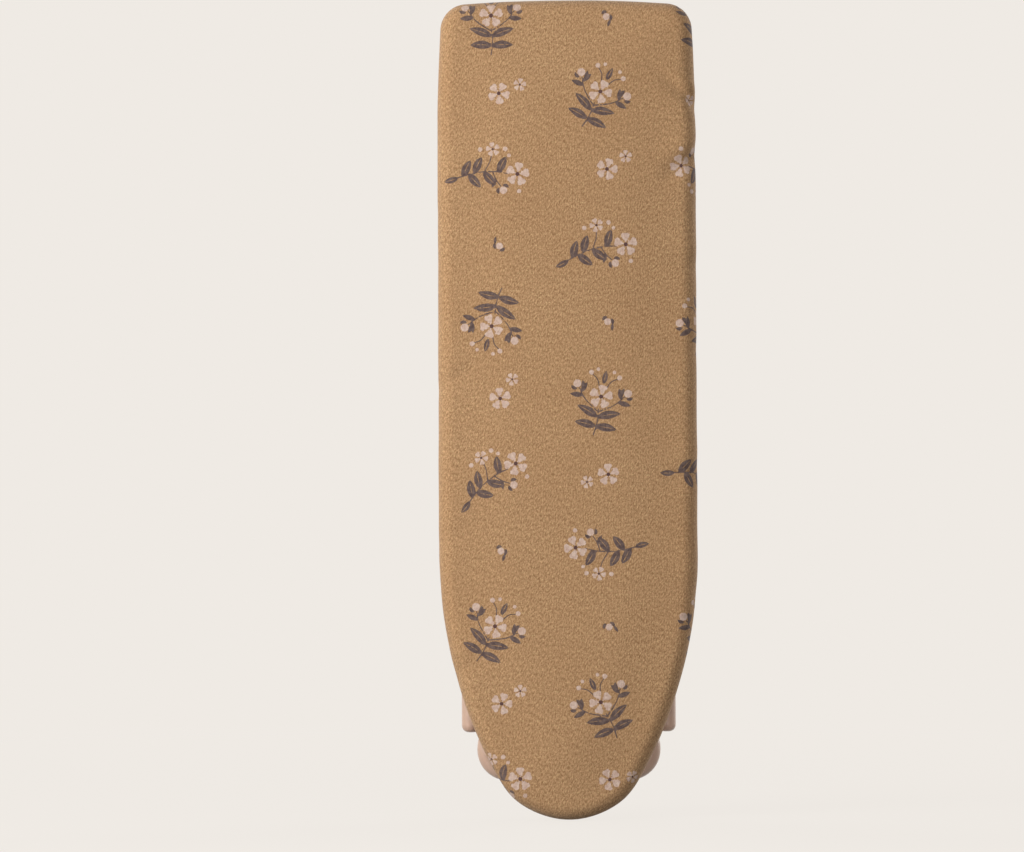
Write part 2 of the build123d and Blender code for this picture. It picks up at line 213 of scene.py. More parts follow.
def stem(*points):
    """Thin smooth stem through the points."""
    line = []
    knots = [points[0], *points, points[-1]]
    for a, b, c, d in zip(knots, knots[1:], knots[2:], knots[3:]):
        for i in range(6):
            t = i / 6
            weights = (-t + 2 * t * t - t ** 3, 2 - 5 * t * t + 3 * t ** 3,
                       t + 4 * t * t - 3 * t ** 3, t ** 3 - t * t)
            line.append(tuple(sum(w * p[k] for w, p in zip(weights, (a, b, c, d))) / 2
                              for k in (0, 1)))
    line.append(points[-1])
    widths = [STEM_HALF_WIDTH * (1.15 - 0.4 * i / len(line)) for i in range(len(line))]
    return [(LEAF, line, widths)]


def blossom(x, z, radius, degrees):
    """Open flower with rounded petals, each of two leaning strokes, and a dark heart."""
    marks = []
    for i in range(PETAL_COUNT):
        angle = math.radians(degrees + 360 * i / PETAL_COUNT)
        spine = [turned(radius * t, 0, angle) for t in (0.2, 0.5, 0.8)]
        widths = [radius * w for w in (0.05, 0.15, 0.22)]
        for lean in (-PETAL_LEAN, PETAL_LEAN):
            bent = [turned(px, pz, lean * reach) for (px, pz), reach in zip(spine, (0, 0.6, 1))]
            marks.append((PETAL, [(x + dx, z + dz) for dx, dz in bent], widths))
    return marks + disc(HEART, x, z, radius * 0.18)


def bud(x, z, radius, degrees):
    """Closed round bud held by two small sepals."""
    marks = disc(PETAL, x, z, radius)
    for turn in (-1, 1):
        spine, widths = [], []
        for i in range(5):
            angle = math.radians(degrees + turn * (28 + 17 * i))
            reach = radius * (1.35 + 0.05 * i)
            spine.append((x + reach * math.cos(angle), z + reach * math.sin(angle)))
            widths.append(0.06 + 0.26 * math.sin(math.pi * i / 4))
        marks.append((LEAF, spine, widths))
    return marks


def mirrored(side, degrees):
    """An angle as it is on the right, or its mirror image on the left."""
    return degrees if side > 0 else 180 - degrees


def posy():
    """An open flower over two pairs of leaves, with a bud on each side and berries above."""
    marks = stem((0, -6.6), (0.25, -4.4), (0, -1.8)) + leaf(0, 2.9, 90, 2.4, 1.0)
    for side in (-1, 1):
        marks += leaf(0.1, -5.0, mirrored(side, 2), 3.9, 1.5, 0.14 * side)
        marks += leaf(0.1, -3.3, mirrored(side, 20), 4.3, 1.5, 0.14 * side)
        marks += stem((0, -2.3), (side * 2.6, -0.6), (side * 4.2, 1.3))
        marks += leaf(side * 3.3, 0.1, mirrored(side, -4), 2.3, 0.95, 0, False)
        marks += leaf(side * 3.7, 0.7, mirrored(side, 112), 2.0, 0.85, 0, False)
        marks += bud(side * 4.7, 2.0, 0.72, mirrored(side, 235))
        marks += stem((side * 0.7, 2.3), (side * 1.3, 3.5), (side * 2.3, 4.2))
        marks += disc(PETAL, side * 2.6, 4.5, 0.45) + disc(PETAL, side * 1.5, 5.3, 0.34)
    return marks + blossom(0, 0.5, 2.1, 90)


def spray():
    """A bowed stem with leaves on both sides, a flower at its tip and a smaller one on a side shoot."""
    marks = stem((-6.0, -2.6), (-3.2, -1.1), (0, -0.1), (3.0, 0.1))
    marks += leaf(-5.8, -2.5, 208, 2.5, 1.1, 0.1)
    for x, z, side in ((-4.9, -2.0, 1), (-3.9, -1.4, -1), (-3.0, -1.0, 1), (-1.3, -0.5, -1),
                       (1.3, 0, 1)):
        marks += leaf(x, z, 20 + side * 56, 3.2, 1.5, 0.1 * side)
    marks += stem((-1.3, -0.5), (-0.7, 1.4), (-0.6, 2.7)) + blossom(-0.6, 3.9, 1.25, 40)
    marks += stem((0.2, -0.1), (1.2, -1.5), (2.2, -2.4)) + bud(2.8, -3.0, 0.68, 135)
    marks += leaf(1.0, -1.2, -100, 1.8, 0.75, 0, False)
    for x, z, radius in ((1.6, 4.4, 0.42), (2.5, 3.4, 0.34), (-2.8, 3.4, 0.42), (5.6, -2.6, 0.4)):
        marks += disc(PETAL, x, z, radius)
    return marks + blossom(4.7, 0.4, 2.1, 20)


def flower_pair():
    return blossom(0, 0, 1.95, 72) + blossom(3.4, 2.3, 1.15, 20)


def single_bud():
    return bud(0, 0, 0.62, 80) + leaf(0.9, -0.2, -80, 1.3, 0.55, 0, False)


# The print is a plain half drop: every other column of sprigs starts half a row higher. Pitches and
# places are in millimetres on the flat cloth, and turns are in degrees.
COLUMN_PITCH = 21.5
ROW_PITCH = 30.5
FIRST_SPRIG = (-15.0, 8.0)
SPRIG_TURNS = (0, -28, 24, 165, -12)
FILLER_PLACE = (1.5, 15.5)  # from each sprig to the flower pair or bud beside it


def placed(marks, x, z, degrees):
    """The strokes of a motif, moved to its place on the cloth, in metres."""
    angle = math.radians(degrees)
    out = []
    for ink, spine, widths in marks:
        moved = []
        for px, pz in spine:
            dx, dz = turned(px, pz, angle)
            moved.append(((x + dx * PRINT_SCALE) * MM, (z + dz * PRINT_SCALE) * MM))
        out.append((ink, np.array(moved), np.array(widths) * PRINT_SCALE * MM))
    return out


def print_strokes():
    """Every stroke that falls on the cloth."""
    strokes = []
    for column in range(-1, 4):
        for row in range(-1, 7):
            x = FIRST_SPRIG[0] + column * COLUMN_PITCH
            z = FIRST_SPRIG[1] + (row + 0.5 * (column % 2)) * ROW_PITCH
            turn = SPRIG_TURNS[(2 * column + row) % len(SPRIG_TURNS)]
            sprig, filler = (posy, single_bud) if (column + row) % 2 else (spray, flower_pair)
            filler_x, filler_z = x + FILLER_PLACE[0], z + FILLER_PLACE[1]
            for motif, at_x, at_z in ((sprig, x, z), (filler, filler_x, filler_z)):
                beyond = locate(np.array([[at_x * MM, at_z * MM]]), 0)[0][0]
                if beyond < SKIRT_LENGTH - ROLL_RADIUS:
                    strokes += placed(motif(), at_x, at_z, turn)
    return strokes


def stroke_points(spine, widths):
    """Mesh points along a stroke's middle and along both sides of its soft edge."""
    edge = INK_EDGE * MM
    if len(spine) == 1:
        points = [spine[0]]
        for radius in (widths[0] - edge, widths[0] + edge):
            count = max(6, round(2 * math.pi * radius / (0.24 * MM)))
            for i in range(count):
                angle = 2 * math.pi * i / count
                points.append(spine[0] + radius * np.array((math.cos(angle), math.sin(angle))))
        return points
    points = []
    along = spine[-1] - spine[0]
    along /= np.hypot(*along)
    for i, point in enumerate(spine):
        step = spine[min(i + 1, len(spine) - 1)] - spine[max(i - 1, 0)]
        across = np.array((-step[1], step[0])) / np.hypot(*step)
        points.append(point)
        for offset in (widths[i] + edge, widths[i] - edge):
            if offset > edge:
                points += [point + across * offset, point - across * offset]
    for end, sign in ((spine[-1], 1), (spine[0], -1)):
        width = widths[-1] if sign > 0 else widths[0]
        for offset in (width + edge, width - edge):
            for angle in ((-45, 0, 45) if width > 2 * edge else (0,)):
                dx, dz = turned(*(along * sign * offset), math.radians(angle))
                if offset > 0:
                    points.append(end + np.array((dx, dz)))
    return points


def distance(points, spine, widths):
    """Distance from each point to a tapered stroke, negative inside it."""
    if len(spine) == 1:
        return np.hypot(*(points - spine[0]).T) - widths[0]
    best = np.full(len(points), np.inf)
    for a, b, wa, wb in zip(spine, spine[1:], widths, widths[1:]):
        step = b - a
        t = np.clip(((points - a) @ step) / max(step @ step, 1e-12), 0, 1)
        gap = np.hypot(*(points - a - t[:, None] * step).T) - (wa + t * (wb - wa))
        best = np.minimum(best, gap)
    return best


def inks(flat, strokes):
    """How much petal, leaf and heart ink each flat point carries, from 0 to 1."""
    edge = INK_EDGE * MM
    amount = np.zeros((len(flat), 4))
    for ink, spine, widths in strokes:
        reach = widths.max() + 2 * edge
        low, high = spine.min(0) - reach, spine.max(0) + reach
        near = np.nonzero(np.all((flat > low) & (flat < high), 1))[0]
        if len(near):
            value = np.clip(0.5 - distance(flat[near], spine, widths) / (2 * edge), 0, 1)
            amount[near, ink] = np.maximum(amount[near, ink], value)
    amount[:, LEAF] *= 1 - 0.75 * amount[:, VEIN]
    return amount[:, :3]


# ---------------- the cover's shape
CROWN = 0.45 * MM  # rise close to the rolled edge
BROAD_CROWN = 0.75 * MM  # rise from the sides to the middle
GATHER_COUNT = 92  # gathers round the whole hem
GATHER_HEIGHT = 0.24 * MM
PULL = 0.25 * MM  # how far the elastic draws the cloth in on its way round the edge
NOSE_PRESS = CLOTH_THICKNESS + 0.02 * MM  # the cloth is pressed flat where the board stands
# Unevenness of the stretched cloth over the front: height, wavelength and seed
RIPPLES = ((0.1 * MM, 21 * MM, 3.1), (0.028 * MM, 6.5 * MM, 8.4))
# Folds where the elastic pulls the cloth over the edge: side, Z, slant, width and depth
EDGE_FOLDS = (
    (1, 146.0 * MM, 0.75, 1.7 * MM, 0.75 * MM),
    (1, 131.0 * MM, -0.45, 2.4 * MM, 0.8 * MM),
    (1, 112.0 * MM, 0.3, 2.2 * MM, 0.35 * MM),
    (1, 95.0 * MM, 0.2, 1.8 * MM, 0.28 * MM),
    (1, 69.0 * MM, -0.3, 2.2 * MM, 0.3 * MM),
    (1, 47.0 * MM, 0.3, 2.0 * MM, 0.22 * MM),
    (-1, 88.5 * MM, 0.5, 1.6 * MM, 0.3 * MM),
    (-1, 120.0 * MM, -0.3, 2.2 * MM, 0.22 * MM),
    (-1, 57.0 * MM, 0.3, 2.0 * MM, 0.2 * MM),
    (-1, 31.0 * MM, 0.2, 2.0 * MM, 0.25 * MM),
)
FOLD_REACH = 5.5 * MM  # how far a fold runs in over the front


def wrapped(beyond):
    """Profile of the wrap: how far out and how deep a point lies that is `beyond` the roll line, and
    the outward and backward parts of the surface normal there."""
    wall_start = ROLL_LENGTH
    turn_start = wall_start + WALL_LENGTH
    return_start = turn_start + BACK_TURN_LENGTH
    roll = np.clip(beyond, 0, ROLL_LENGTH) / ROLL_RADIUS
    turn = np.clip(beyond - turn_start, 0, BACK_TURN_LENGTH) / BACK_RADIUS
    out = (np.minimum(beyond, 0) + ROLL_RADIUS * np.sin(roll)
           - BACK_RADIUS * (1 - np.cos(turn)) - np.maximum(beyond - return_start, 0))
    depth = (ROLL_RADIUS * (1 - np.cos(roll)) + np.clip(beyond - wall_start, 0, WALL_LENGTH)
             + BACK_RADIUS * np.sin(turn))
    lean = roll + turn
    return out, depth, np.sin(lean), -np.cos(lean)


def relief(beyond, near_x, near_z, along, flat):
    """How far the cloth stands out from the plain wrap: crown, ripples, gathers and edge folds."""
    inside = np.maximum(-beyond, 0)
    places = np.column_stack((near_x, near_z, np.zeros(len(near_x))))
    surface = np.column_stack((flat, np.zeros(len(flat))))
    height = CROWN * (1 - np.exp(-inside / (7 * MM)))
    arch = 1 - (flat[:, 0] / HALF_WIDTH) ** 2
    height += BROAD_CROWN * arch * smooth(inside, 0, 12 * MM)
    for rise, wavelength, seed in RIPPLES:
        height += rise * noise_at(surface, wavelength, seed)
    wobble = noise_at(places, 14 * MM, 5.2)
    phase = math.pi * GATHER_COUNT * along / HALF_PERIMETER + 3.2 * wobble
    pleat = np.sin(phase) + 0.35 * np.sin(2 * phase + 1.3 * wobble)
    tightness = (0.55 + 0.45 * noise_at(places, 19 * MM, 1.7)
                 + 0.8 * smooth(near_z, CORNER_Z - 2 * MM, CORNER_Z + 2 * MM)
                 * smooth(np.abs(near_x), CORNER_X - 8 * MM, CORNER_X)
                 + 0.6 * (1 - smooth(near_z, 8 * MM, 40 * MM)))
    wall_end = ROLL_LENGTH + WALL_LENGTH
    rise = smooth(beyond, ROLL_LENGTH + 0.3 * WALL_LENGTH, wall_end + BACK_TURN_LENGTH + 0.6 * MM)
    settle = 1 - 0.45 * smooth(beyond, SKIRT_LENGTH - 1.4 * MM, SKIRT_LENGTH)
    height += GATHER_HEIGHT * tightness * pleat * rise * settle
    height -= PULL * smooth(beyond, ROLL_LENGTH - 0.6 * MM, wall_end)
    height += 0.07 * MM * noise_at(places, 9 * MM, 6.3) * smooth(beyond, -2 * MM, 3 * MM)
    for side, fold_z, slant, width, depth in EDGE_FOLDS:
        across = (near_z - fold_z + slant * beyond) / width
        bump = np.exp(-across ** 2) - 0.45 * np.exp(-(across - 1.6) ** 2)
        ramp = smooth(beyond, -FOLD_REACH, 1.2 * MM) * (1 - 0.8 * smooth(beyond, 2.2 * MM, 5 * MM))
        ramp = ramp * (1 - smooth(beyond, 6 * MM, 9 * MM))
        height -= depth * bump * ramp * (np.sign(near_x) == side)
    under_nose = (1 - smooth(near_z, 3.2 * MM, 7 * MM)) * smooth(beyond, 0, ROLL_LENGTH)
    return height * (1 - 0.9 * under_nose) - NOSE_PRESS * under_nose


# The cover's mesh: rings from the hem to just inside the roll, and a grid over the front
RING_COUNT = 26
RING_SPACING = 0.82 * MM
TIGHT_SPACING = 0.55 * MM  # on the tight curves of nose and corners
LAST_RING = -1.0 * MM
GRID_SPACING = 0.95 * MM
ROW_RATIO = 0.87  # rows are closer than columns, for nearly equal triangles
GRID_EDGE = -1.4 * MM
MARK_CELL = 0.09 * MM  # the print's points are at least about this far apart


def cloth_points(strokes):
    """Flat points of the cover: a grid over the front, rings down the skirt, and the print's edges."""
    points = [ring(ROLL_RADIUS - beyond, RING_SPACING, TIGHT_SPACING)
              for beyond in np.linspace(SKIRT_LENGTH, LAST_RING, RING_COUNT)]
    columns = np.arange(-HALF_WIDTH, HALF_WIDTH, GRID_SPACING)
    rows = np.arange(0, TAIL_Z, GRID_SPACING * ROW_RATIO)
    grid = np.array([(x + (i % 2) * GRID_SPACING / 2, z) for i, z in enumerate(rows) for x in columns])
    inner = locate(grid, ROLL_RADIUS)[0] < GRID_EDGE
    points.append(grid[inner])
    marks = np.array([p for _, spine, widths in strokes for p in stroke_points(spine, widths)])
    on_cloth = locate(marks, ROLL_RADIUS)[0] < SKIRT_LENGTH - 0.15 * MM
    marks = marks[on_cloth]
    cell = np.round(marks / MARK_CELL).astype(int)
    _, first = np.unique(cell, axis=0, return_index=True)
    points.insert(1, marks[np.sort(first)])
    return np.concatenate(points)


def triangulated(points):
    """Delaunay triangles of flat points, worked in millimetres."""
    flat = [Vector((x / MM, z / MM)) for x, z in points]
    out, _, faces, _, _, _ = geometry.delaunay_2d_cdt(flat, [], [], 0, 0.01, False)
    return np.array([(p.x, p.y) for p in out]) * MM, faces


def mesh_object(name, points, faces, body="board"):
    """A smooth-shaded piece that rides on a body."""
    mesh = bpy.data.meshes.new(name)
    mesh.from_pydata([tuple(p) for p in points], [], [tuple(f) for f in faces])
    mesh.validate()
    mesh.shade_smooth()
    piece = bpy.data.objects.new(name, mesh)
    bpy.context.scene.collection.objects.link(piece)
    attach(piece, body)
    return piece


def vector_attribute(piece, name, values):
    layer = piece.data.attributes.new(name, "FLOAT_VECTOR", "POINT")
    layer.data.foreach_set("vector", np.asarray(values, dtype=np.float32).ravel())


def apply_modifiers(piece):
    graph = bpy.context.evaluated_depsgraph_get()
    mesh = bpy.data.meshes.new_from_object(piece.evaluated_get(graph))
    piece.modifiers.clear()
    piece.data = mesh


def make_cover():
    strokes = print_strokes()
    flat, faces = triangulated(cloth_points(strokes))
    beyond, near_x, near_z, normal_x, normal_z, along = locate(flat, ROLL_RADIUS)
    out, depth, lean_out, lean_back = wrapped(beyond)
    height = relief(beyond, near_x, near_z, along, flat)
    reach = out + height * lean_out
    points = np.column_stack((
        near_x + normal_x * reach,
        FRONT_Y + depth + height * lean_back,
        near_z + normal_z * reach,
    ))
    piece = mesh_object("printed_cover", points, [tuple(reversed(f)) for f in faces])
    vector_attribute(piece, "flat", np.column_stack((flat, np.zeros(len(flat)))))
    vector_attribute(piece, "print", inks(flat, strokes))
    solid = piece.modifiers.new("thickness", "SOLIDIFY")
    solid.thickness = CLOTH_THICKNESS
    solid.offset = -1
    apply_modifiers(piece)
    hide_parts("fabric_cover")
    return piece


# ---------------- pad, casing, elastic, stitches
def loft(name, rings, closed=True):
    """A piece from rings of equal length. Closed: the last ring joins the first; otherwise both
    ends are filled with fans."""
    count = len(rings[0])
    points = np.concatenate(rings)
    faces = []
    spans = len(rings) if closed else len(rings) - 1
    for i in range(spans):
        here, there = i * count, (i + 1) % len(rings) * count
        for j in range(count):
            k = (j + 1) % count
            faces.append((here + j, here + k, there + k, there + j))
    if not closed:
        for start, order in ((0, -1), ((len(rings) - 1) * count, 1)):
            middle = points[start:start + count].mean(0)
            points = np.vstack((points, middle))
            for j in range(count):
                tri = (start + j, start + (j + 1) % count, len(points) - 1)
                faces.append(tri[::order])
    return mesh_object(name, points, faces)


def make_pad():
    """Soft pad: crowned front, rounded edge and a flat back on the panel."""
    inset = PAD_LOW.z + 0.25 * MM
    edge = 2.4 * MM
    front = PAD_LOW.y + 0.3 * MM
    back = PAD_HIGH.y
    base = ring(inset, 1.6 * MM)
    _, _, _, normal_x, normal_z, along = locate(base, inset)
    centre = np.array((0, TAIL_Z / 2))
    rings = []
    profile = [(edge * (1 - math.sin(a)), edge * (1 - math.cos(a)))
               for a in np.linspace(0, math.pi / 2, 7)]
    for shrink in (0.06, 0.3, 0.55, 0.78):
        flat = centre + (base - centre) * shrink
        crown = 0.25 * MM * (1 - shrink ** 2)
        rings.append(np.column_stack((flat[:, 0], np.full(len(flat), front - crown), flat[:, 1])))
    for inward, deep in profile + [(0, back - front)]:
        waves = 0.05 * MM * np.sin(along * 160) * (inward < edge / 2)
        shift = inward - waves
        flat_x = base[:, 0] - normal_x * shift
        flat_z = base[:, 1] - normal_z * shift
        rings.append(np.column_stack((flat_x, np.full(len(base), front + deep), flat_z)))
    flat = centre + (base - centre) * 0.5
    rings.append(np.column_stack((flat[:, 0], np.full(len(flat), back), flat[:, 1])))
    piece = loft("pad_filling", rings, closed=False)
    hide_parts("foam_pad")
    return piece


def band(name, inset_outer, inset_inner, front, back, ripple, round_steps, spacing, squareness):
    """A flattened tube that runs round the board's back, gathered along its length."""
    middle = (inset_outer + inset_inner) / 2
    half = (inset_inner - inset_outer) / 2
    base = ring(middle, spacing)
    _, _, _, normal_x, normal_z, along = locate(base, middle)
    places = np.column_stack((base[:, 0], base[:, 1], np.zeros(len(base))))
    wobble = noise_at(places, 9 * MM, 2.4)
    phase = 2 * math.pi * along * GATHER_COUNT * 1.5 / (2 * HALF_PERIMETER) + 2.6 * wobble
    swell = ripple * (np.sin(phase) + 0.5 * np.sin(2 * phase + wobble))
    sway = ripple * 0.6 * noise_at(places, 5 * MM, 7.7)
    rings = []
    for i in range(round_steps):
        angle = 2 * math.pi * i / round_steps
        c, s = math.cos(angle), math.sin(angle)
        across = math.copysign(abs(c) ** squareness, c) * half
        up = math.copysign(abs(s) ** squareness, s)
        depth = (front + back) / 2 + up * (back - front) / 2
        lift = swell * max(up, 0) * (0.55 + 0.45 * abs(s))
        rings.append(np.column_stack((
            base[:, 0] + normal_x * (across + sway),
            np.full(len(base), depth) + lift - ripple * max(up, 0),
            base[:, 1] + normal_z * (across + sway),
        )))
    piece = loft(name, rings)
    start = np.tile(along, round_steps)
    girth = np.repeat(np.arange(round_steps) * 2 * (half + (back - front) / 2) * 2 / round_steps,
                      len(base))
    vector_attribute(piece, "flat", np.column_stack((start, girth, np.zeros(len(start)))))
    return piece


def make_casing():
    piece = band("hem_casing", HEM_INSET, HEM_INSET + 2.6 * MM, BINDING_LOW.y, BINDING_HIGH.y,
                 0.12 * MM, 20, 0.75 * MM, 0.62)
    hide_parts("cover_binding")
    return piece


def make_elastic():
    piece = band("elastic_band", ELASTIC_LOW.z + 0.1 * MM, ELASTIC_LOW.z + 1.6 * MM,
                 ELASTIC_LOW.y + 0.06 * MM, ELASTIC_HIGH.y - 0.1 * MM, 0.02 * MM, 12, 1.2 * MM, 0.3)
    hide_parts("hem_elastic")
    return piece


STITCH_PITCH = 1.7 * MM
STITCH_LENGTH = 1.15 * MM
STITCH_RADIUS = 0.085 * MM
STITCH_RISE = 0.1 * MM  # how far a stitch's middle stands above its ends
STITCH_STEPS = 6
STITCH_SIDES = 6


def add_stitch(points, faces, foot, way):
    """One thread that runs along `way`, arched over the cloth, with tapered, closed ends."""
    side = Vector((-way.z, 0, way.x))
    start = len(points)
    for i in range(STITCH_STEPS + 1):
        t = i / STITCH_STEPS * 2 - 1
        width = STITCH_RADIUS * math.sqrt(max(1 - t ** 4, 0.02))
        middle = foot - Vector((0, STITCH_RISE * t * t, 0)) + way * (t * STITCH_LENGTH / 2)
        for k in range(STITCH_SIDES):
            angle = 2 * math.pi * k / STITCH_SIDES
            points.append(middle + side * (width * math.cos(angle))
                          + Vector((0, width * math.sin(angle), 0)))
    for i in range(STITCH_STEPS):
        for k in range(STITCH_SIDES):
            n = (k + 1) % STITCH_SIDES
            a, b = start + i * STITCH_SIDES, start + (i + 1) * STITCH_SIDES
            faces.append((a + k, b + k, b + n, a + n))
    faces.append([start + k for k in range(STITCH_SIDES)])
    faces.append([start + STITCH_STEPS * STITCH_SIDES + k for k in reversed(range(STITCH_SIDES))])


def make_stitches():
    """Running stitches along both edges of the casing."""
    points, faces = [], []
    y = BINDING_HIGH.y - 0.2 * MM
    for inset in (HEM_INSET + 0.35 * MM, HEM_INSET + 2.25 * MM):
        base = ring(inset, STITCH_PITCH)
        _, _, _, normal_x, normal_z, _ = locate(base, inset)
        tilt = noise_at(np.column_stack((base, np.zeros(len(base)))), 3 * MM, 9.1)
        for (x, z), nx, nz, lean in zip(base, normal_x, normal_z, tilt):
            way = (Vector((-nz, 0, nx)) + Vector((nx, 0, nz)) * 0.12 * lean).normalized()
            add_stitch(points, faces, Vector((x, y, z)), way)
    piece = mesh_object("casing_stitches", points, faces)
    return piece


# ---------------- materials
class Shader:
    """A material with a Principled shader, and short ways to add nodes to it."""

    def __init__(self, name, **values):
        self.material = bpy.data.materials.new(name)
        self.material.use_nodes = True
        self.tree = self.material.node_tree
        self.surface = self.tree.nodes["Principled BSDF"]
        self.set(self.surface, values)

    def set(self, node, values):
        for key, value in values.items():
            socket = node.inputs[key] if isinstance(key, int) else node.inputs[key.replace("_", " ")]
            if isinstance(value, bpy.types.NodeSocket):
                self.tree.links.new(value, socket)
            else:
                socket.default_value = value

    def node(self, kind, values=None, **options):
        node = self.tree.nodes.new("ShaderNode" + kind)
        for key, value in options.items():
            setattr(node, key, value)
        self.set(node, values or {})
        return node

    def math(self, operation, a, b=0.0, c=0.0):
        return self.node("Math", {0: a, 1: b, 2: c}, operation=operation).outputs[0]

    def object_place(self):
        return self.node("TexCoord").outputs["Object"]

    def attribute(self, name):
        return self.node("Attribute", attribute_name=name).outputs["Vector"]

    def mapped(self, vector, key, value):
        """The place scaled, or turned by `value` radians about each axis."""
        return self.node("Mapping", {"Vector": vector, key: value}).outputs["Vector"]

    def noise(self, vector, scale, detail=3.0, roughness=0.55, distortion=0.0):
        """Noise from 0 to 1; scale is one number, or three for a stretched pattern, per metre."""
        if not isinstance(scale, (int, float)):
            vector, scale = self.mapped(vector, "Scale", scale), 1.0
        values = {"Vector": vector, "Scale": scale, "Detail": detail, "Roughness": roughness,
                  "Distortion": distortion}
        return self.node("TexNoise", values).outputs["Fac"]

    def cells(self, vector, scale):
        return self.node("TexVoronoi", {"Vector": vector, "Scale": scale}).outputs["Distance"]

    def span(self, value, low, high, to_low=0.0, to_high=1.0, kind="LINEAR"):
        values = {"Value": value, "From_Min": low, "From_Max": high, "To_Min": to_low,
                  "To_Max": to_high}
        return self.node("MapRange", values, interpolation_type=kind).outputs["Result"]

    def mix(self, factor, a, b, blend="MIX"):
        node = self.node("Mix", data_type="RGBA", blend_type=blend)
        for socket, value in ((node.inputs[0], factor), (node.inputs[6], a), (node.inputs[7], b)):
            if isinstance(value, bpy.types.NodeSocket):
                self.tree.links.new(value, socket)
            else:
                socket.default_value = value
        return node.outputs[2]

    def bump(self, height, distance, strength=1.0, normal=None):
        values = {"Height": height, "Distance": distance, "Strength": strength}
        if normal is not None:
            values["Normal"] = normal
        return self.node("Bump", values).outputs["Normal"]

    def finish(self, **values):
        self.set(self.surface, values)
        return self.material


def rgb(red, green, blue):
    """Linear colour from 0-255 display values."""
    def linear(value):
        value /= 255
        return value / 12.92 if value <= 0.04045 else ((value + 0.055) / 1.055) ** 2.4
    return (linear(red), linear(green), linear(blue), 1.0)


THREAD_PITCH = 0.5 * MM
GRAIN_SLANT = math.radians(28)


def weave(shader, place):
    """Plain weave over a flat cloth place: height, tone and thread, each about 0 to 1."""
    split = shader.node("SeparateXYZ", {0: place})
    wander = shader.noise(place, 260, 2.0)
    turns = math.pi / THREAD_PITCH

    def threads(position, count, sway):
        shift = shader.math("MULTIPLY", wander, sway)
        return shader.math("SINE", shader.math("MULTIPLY_ADD", position, count, shift))

    def slubs(where, width, length):
        return shader.noise(where, (1 / width, 1 / length, 1), 2.0, 0.6)

    warp = threads(split.outputs[0], turns, 5.0)
    weft = threads(split.outputs[1], turns * 1.06, 4.0)
    crossing = shader.math("MULTIPLY", warp, weft)
    lower = shader.math("MULTIPLY", shader.math("ABSOLUTE", warp), shader.math("ABSOLUTE", weft))
    thread = shader.math("MULTIPLY_ADD", shader.math("ABSOLUTE", crossing), 0.35,
                         shader.math("MULTIPLY_ADD", crossing, 0.3, 0.3))
    slub_up = slubs(place, 0.22 * MM, 0.6 * MM)
    slub_over = slubs(place, 0.55 * MM, 0.24 * MM)
    slant = slubs(shader.mapped(place, "Rotation", (0, 0, GRAIN_SLANT)), 0.26 * MM, 0.75 * MM)
    tone = shader.math("ADD", shader.math("MULTIPLY", slub_up, 0.35),
                       shader.math("MULTIPLY", slub_over, 0.2))
    tone = shader.math("MULTIPLY_ADD", slant, 0.45, tone)
    height = shader.math("MULTIPLY_ADD", tone, 0.9, shader.math("MULTIPLY", thread, 0.6))
    height = shader.math("MULTIPLY_ADD", lower, 0.25, height)
    return height, tone, thread


def cover_material():
    """Ochre plain-weave cotton with a small scattered print in pale pink and plum grey."""
    shader = Shader("ochre_print_cotton", Roughness=0.86, Sheen_Weight=0.18, Sheen_Roughness=0.5,
                    Specular_IOR_Level=0.22)
    place = shader.attribute("flat")
    height, tone, thread = weave(shader, place)
    light = shader.span(tone, 0.38, 0.62, kind="SMOOTHSTEP")
    ground = shader.mix(light, rgb(146, 108, 72), rgb(197, 158, 118))
    ground = shader.mix(shader.span(thread, 0.0, 0.9, 0.0, 0.35), ground, rgb(205, 166, 122))
    fleck = shader.noise(place, (1 / (0.24 * MM), 1 / (0.45 * MM), 1), 1.0)
    ground = shader.mix(shader.span(fleck, 0.6, 0.72, 0.0, 0.6), ground, rgb(228, 198, 146))
    ground = shader.mix(shader.span(fleck, 0.36, 0.26, 0.0, 0.4), ground, rgb(122, 84, 56))
    patch = shader.noise(place, 55, 3.0)
    ground = shader.mix(shader.span(patch, 0.3, 0.7, 0.0, 0.22), ground, rgb(160, 118, 80))

    ragged = shader.math("MULTIPLY_ADD", tone, 2.2, -1.1)
    ink = shader.node("SeparateXYZ", {0: shader.attribute("print")})

    def coverage(amount, full):
        value = shader.math("ADD", amount, ragged)
        return shader.span(value, 0.3, 0.72, 0.0, full, "SMOOTHSTEP")

    leaf_shade = shader.noise(place, 1 / (0.8 * MM), 2.0)
    leaf_colour = shader.mix(shader.span(leaf_shade, 0.35, 0.65), rgb(80, 67, 70), rgb(110, 94, 91))
    petal_shade = shader.noise(place, 1 / (0.7 * MM), 2.0)
    petal_colour = shader.mix(shader.span(petal_shade, 0.35, 0.65), rgb(202, 172, 158),
                              rgb(220, 197, 184))
    colour = shader.mix(coverage(ink.outputs[1], 0.93), ground, leaf_colour)
    colour = shader.mix(coverage(ink.outputs[0], 0.9), colour, petal_colour)
    colour = shader.mix(coverage(ink.outputs[2], 0.93), colour, rgb(84, 58, 62))
    threads = shader.span(tone, 0.35, 0.65, 0.86, 1.1)
    shade = shader.node("CombineColor", {0: threads, 1: threads, 2: threads}).outputs[0]
    colour = shader.mix(1.0, colour, shade, "MULTIPLY")
    fuzz = shader.noise(shader.object_place(), 900, 4.0)
    normal = shader.bump(fuzz, 0.05 * MM, 0.25)
    normal = shader.bump(height, 0.07 * MM, 0.7, normal)
    return shader.finish(Base_Color=colour, Normal=normal)


